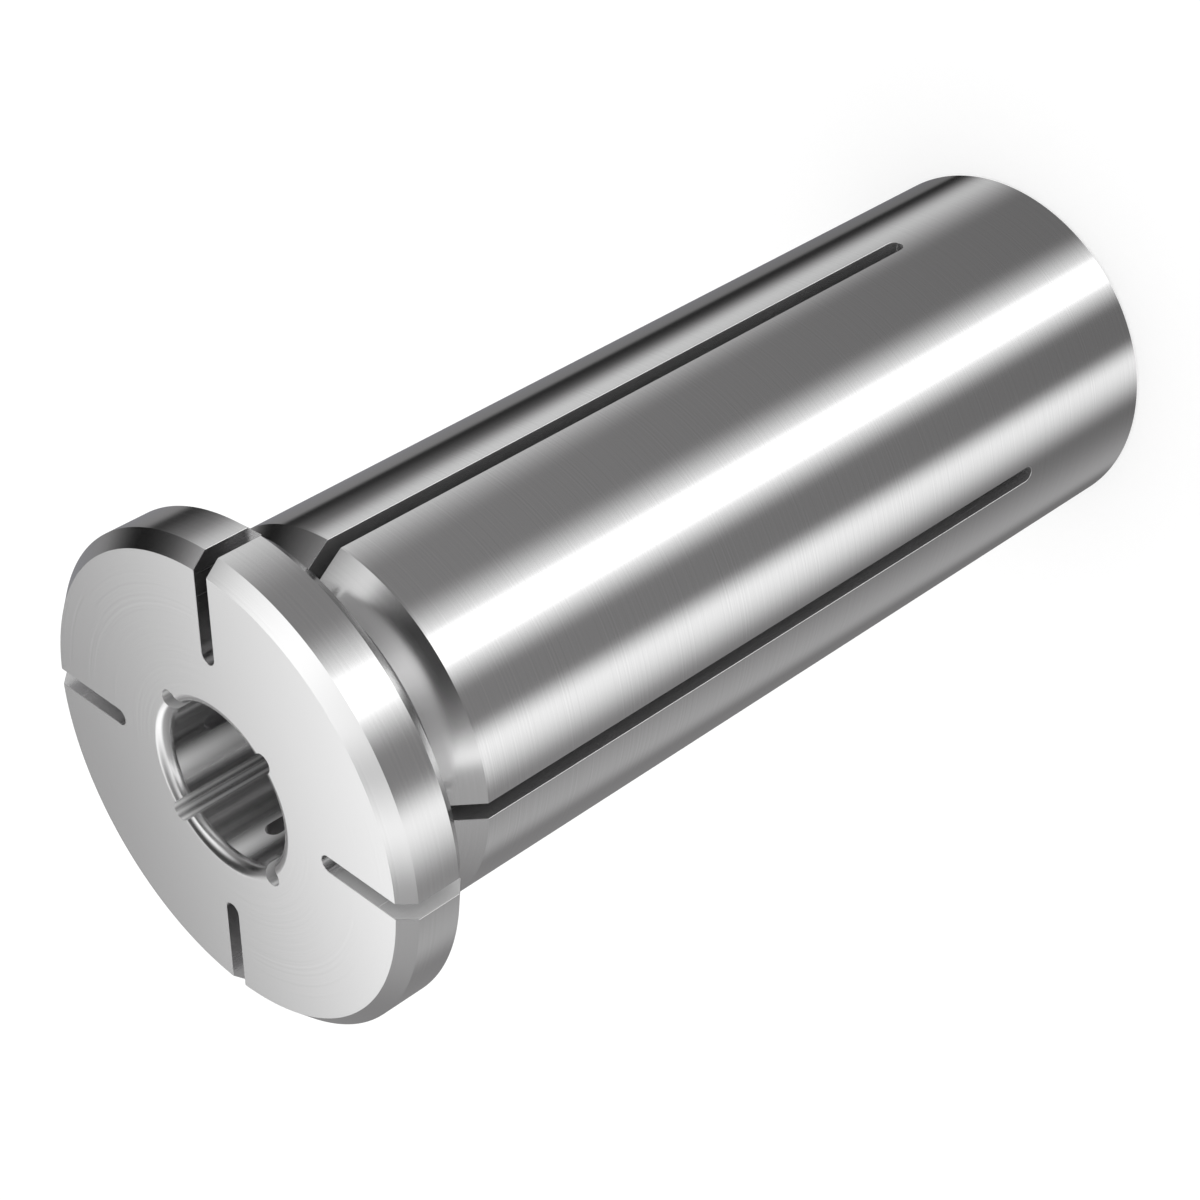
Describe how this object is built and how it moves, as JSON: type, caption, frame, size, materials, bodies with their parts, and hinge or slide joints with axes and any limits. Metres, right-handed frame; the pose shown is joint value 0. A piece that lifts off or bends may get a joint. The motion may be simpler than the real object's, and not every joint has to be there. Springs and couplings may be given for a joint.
{
  "type": "hydraulic chuck sleeve",
  "caption": "Flanged reducing sleeve of ground steel, slotted lengthwise, with a round-mouthed tool bore and coolant grooves along it.",
  "frame": {"origin": "centre of the rear end face, on the bore's axis", "axes": "+Z along the bore, from the rear end to the flange; +X and +Y each point at a groove, half way between two slots"},
  "size_m": [0.0244, 0.0244, 0.0545],
  "materials": {
    "steel": "ground bright, with fine lines round the outside"
  },
  "bodies": {
    "root": {"sleeve": "steel"}
  },
  "joints": []
}
